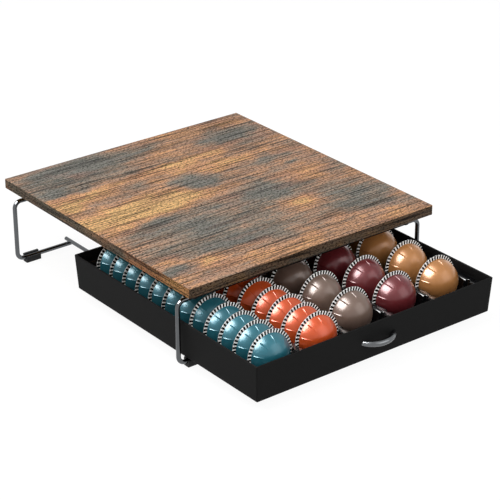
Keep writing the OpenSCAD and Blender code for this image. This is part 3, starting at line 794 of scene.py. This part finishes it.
tall_seats, orange_seats, teal_seats = range(1, SEATS - 2, 2), range(SEATS - 2), range(SEATS)
ROWS = [
    ("teal", 0, teal_seats, False, "#276f7e", "#20606e"),
    ("orange", 1, orange_seats, False, "#d05322", "#c0491b"),
    ("taupe", 2, tall_seats, True, "#776358", "#69554b"),
    ("burgundy", 3, tall_seats, True, "#6d2429", "#5d1f24"),
    ("caramel", 4, tall_seats, True, "#b77e49", "#a7703d"),
]
tall_pod, short_pod = pod_shell(TALL_H), pod_shell(SHORT_H)
for name, column, seats, tall, colour, dark in ROWS:
    shape, pod_faces, pod_uv, ring_from, ring_to = tall_pod if tall else short_pod
    shift, lean = (TALL_SHIFT, TALL_LEAN) if tall else (SHORT_SHIFT, SHORT_LEAN)
    points, faces = row_of_pods(shape, pod_faces, column, seats, shift, lean)
    material = pod_lacquer(name + "_lacquer", colour, dark, ring_from, ring_to)
    make_piece(name + "_pods", points, faces, material, "drawer", [name + "_shells"],
               uv=pod_uv*len(seats), sharp=60)

# %% [markdown]
# ## Foil lids
# Each pod is closed by foil, heat-sealed to the back of the flange: a flat pressed
# band round the edge, and inside it a skin that stands out a little. It too is a
# turned profile. The foil is bare aluminium, wrinkled in waves a few millimetres long.

# %% Foil and lids
foil = new_material("sealed_foil")
tree = foil.node_tree
place = add_node(tree, "ShaderNodeTexCoord").outputs["Object"]
wrinkles = add_node(tree, "ShaderNodeTexNoise", {
    "Vector": place, "Scale": 1/(5*MM), "Detail": 3.0, "Distortion": 0.8})
foil_tone = add_node(tree, "ShaderNodeMix", {
    "Factor": wrinkles.outputs[0], 6: "#bdb9b2", 7: "#d6d3cd"}, data_type="RGBA")
foil_bump = add_node(tree, "ShaderNodeBump", {
    "Height": wrinkles.outputs[0], "Strength": 0.6, "Distance": 0.3*MM})
show(foil, add_node(tree, "ShaderNodeBsdfPrincipled", {
    "Base Color": foil_tone.outputs[2], "Metallic": 1.0, "Roughness": 0.34, "Normal": foil_bump.outputs[0]}))

LID_STEPS, LID_R, LID_HOLE, SKIN_R, SKIN_OUT = 64, 27.8, 1.2, 23.4, 0.5
skin_r = np.linspace(SKIN_R, LID_HOLE, 7)
lid_profile = np.vstack([
    [[LID_HOLE, -0.72], [14, -0.72], [LID_R, -0.72], [LID_R, -1.02], [27.5, -1.08], [24.6, -1.08],
     [24.0, -0.94]],
    np.column_stack([skin_r, -1.0 - SKIN_OUT*(1 - (skin_r/SKIN_R)**2)])])
turn = np.linspace(0, 2*np.pi, LID_STEPS, endpoint=False)
lid = np.stack([lid_profile[:, :1]*np.cos(turn), lid_profile[:, :1]*np.sin(turn),
                np.broadcast_to(lid_profile[:, 1:], (len(lid_profile), LID_STEPS))], axis=2).reshape(-1, 3)
lid_faces = [list(f) for f in grid_faces(len(lid_profile), LID_STEPS, close_columns=True)]
lid_faces += [list(range(LID_STEPS))[::-1],
              list(range((len(lid_profile) - 1)*LID_STEPS, len(lid_profile)*LID_STEPS))]
for name, column, seats, tall, _, _ in ROWS:
    shift, lean = (TALL_SHIFT, TALL_LEAN) if tall else (SHORT_SHIFT, SHORT_LEAN)
    points, faces = row_of_pods(lid, lid_faces, column, seats, shift, lean)
    make_piece(name + "_foils", points, faces, foil, "drawer", [name + "_lids"])

# %% [markdown]
# ## Floor, lamps and world
# The set is a white sweep. To the camera, to mirrors and to glass both floor and
# world are white, and the floor keeps a little of its shadow. To paint they are
# ordinary paper and a dim sky, so that faces turned from the lamps fall into shade.
# A large soft key lamp stands high on the left. Two fills, in front and on the left,
# reach only paint, as cross-polarised lamps do, because their reflections would veil
# the lacquer. Two more lamps are seen only in reflections: the sheen, about ten times
# as strong as the key, which draws the highlight on every dome, and a card in front
# on the right. A low strip on the right adds a thin edge of light.

# %% The set
floor_mesh = bpy.data.meshes.new("floor")
floor_mesh.from_pydata([(-8, -8, 0), (8, -8, 0), (8, 8, 0), (-8, 8, 0)], [], [(0, 1, 2, 3)])
floor = bpy.data.objects.new("floor", floor_mesh)
bpy.context.scene.collection.objects.link(floor)


def seen_by_eye(tree):
    """1 for camera, glossy and transmission rays, which all see the white set, and 0 for the rest."""
    rays = add_node(tree, "ShaderNodeLightPath")
    seen = add_node(tree, "ShaderNodeMath", {
        0: rays.outputs["Is Glossy Ray"], 1: rays.outputs["Is Transmission Ray"]}, operation="MAXIMUM")
    return add_node(tree, "ShaderNodeMath", {
        0: rays.outputs["Is Camera Ray"], 1: seen.outputs[0]}, operation="MAXIMUM").outputs[0]


sweep_white = new_material("sweep_white")
tree = sweep_white.node_tree
paper = add_node(tree, "ShaderNodeBsdfDiffuse", {"Color": "#e6e6e6"})
glow = add_node(tree, "ShaderNodeEmission", {"Color": "#ffffff", "Strength": 0.93})
shadow = add_node(tree, "ShaderNodeBsdfDiffuse", {"Color": "#606060"})
lifted = add_node(tree, "ShaderNodeAddShader", {0: glow.outputs[0], 1: shadow.outputs[0]})
show(sweep_white, add_node(tree, "ShaderNodeMixShader", {
    0: seen_by_eye(tree), 1: paper.outputs[0], 2: lifted.outputs[0]}))
floor_mesh.materials.append(sweep_white)

world = bpy.data.worlds.new("white_room")
bpy.context.scene.world = world
world.use_nodes = True
world.node_tree.nodes.clear()
tree = world.node_tree
SKY_FOR_PAINT, WHITE = 0.28, 1.0
level = add_node(tree, "ShaderNodeMix", {"Factor": seen_by_eye(tree), 2: SKY_FOR_PAINT, 3: WHITE})
sky = add_node(tree, "ShaderNodeBackground", {"Color": "#ffffff", "Strength": level.outputs[0]})
add_node(tree, "ShaderNodeOutputWorld", {"Surface": sky.outputs[0]})


def lamp(name, direction, distance, width, height, radiance, lights="both"):
    """An area lamp facing the drawer. Its power is radiance times area times pi. A "paint" lamp lights
    colours and isn't seen in reflections; a "gloss" lamp is seen only in reflections."""
    data = bpy.data.lights.new(name, "AREA")
    data.shape, data.size, data.size_y = "RECTANGLE", width, height
    data.energy = radiance*width*height*math.pi
    lamp_object = bpy.data.objects.new(name, data)
    bpy.context.scene.collection.objects.link(lamp_object)
    z = np.asarray(direction, float)/np.linalg.norm(direction)
    x = np.cross([0, 0, 1], z)
    x /= np.linalg.norm(x)
    place = np.eye(4)
    place[:3, 0], place[:3, 1], place[:3, 2] = x, np.cross(z, x), z
    place[:3, 3] = z*distance + [0, -0.08, 0.05]
    lamp_object.matrix_world = Matrix(place.tolist())
    lamp_object.visible_camera = False
    lamp_object.visible_diffuse = lights != "gloss"
    lamp_object.visible_glossy = lights != "paint"
    return lamp_object


lamp("key", (-0.47, 0.12, 0.87), 2.0, 1.6, 2.0, 2.7)
lamp("key_sheen", (-0.52, 0.12, 0.84), 1.95, 1.6, 1.6, 26.0, "gloss")
lamp("fill", (0.1, -0.85, 0.5), 2.0, 2.2, 2.2, 1.6, "paint")
lamp("left_fill", (-0.93, -0.3, 0.22), 2.2, 2.0, 1.0, 0.5, "paint")
lamp("card", (0.37, -0.76, 0.52), 2.0, 1.5, 1.5, 1.8, "gloss")
lamp("edge", (0.98, 0.2, 0.09), 2.2, 3.0, 0.3, 0.8)
bpy.context.scene.view_settings.view_transform = "Standard"
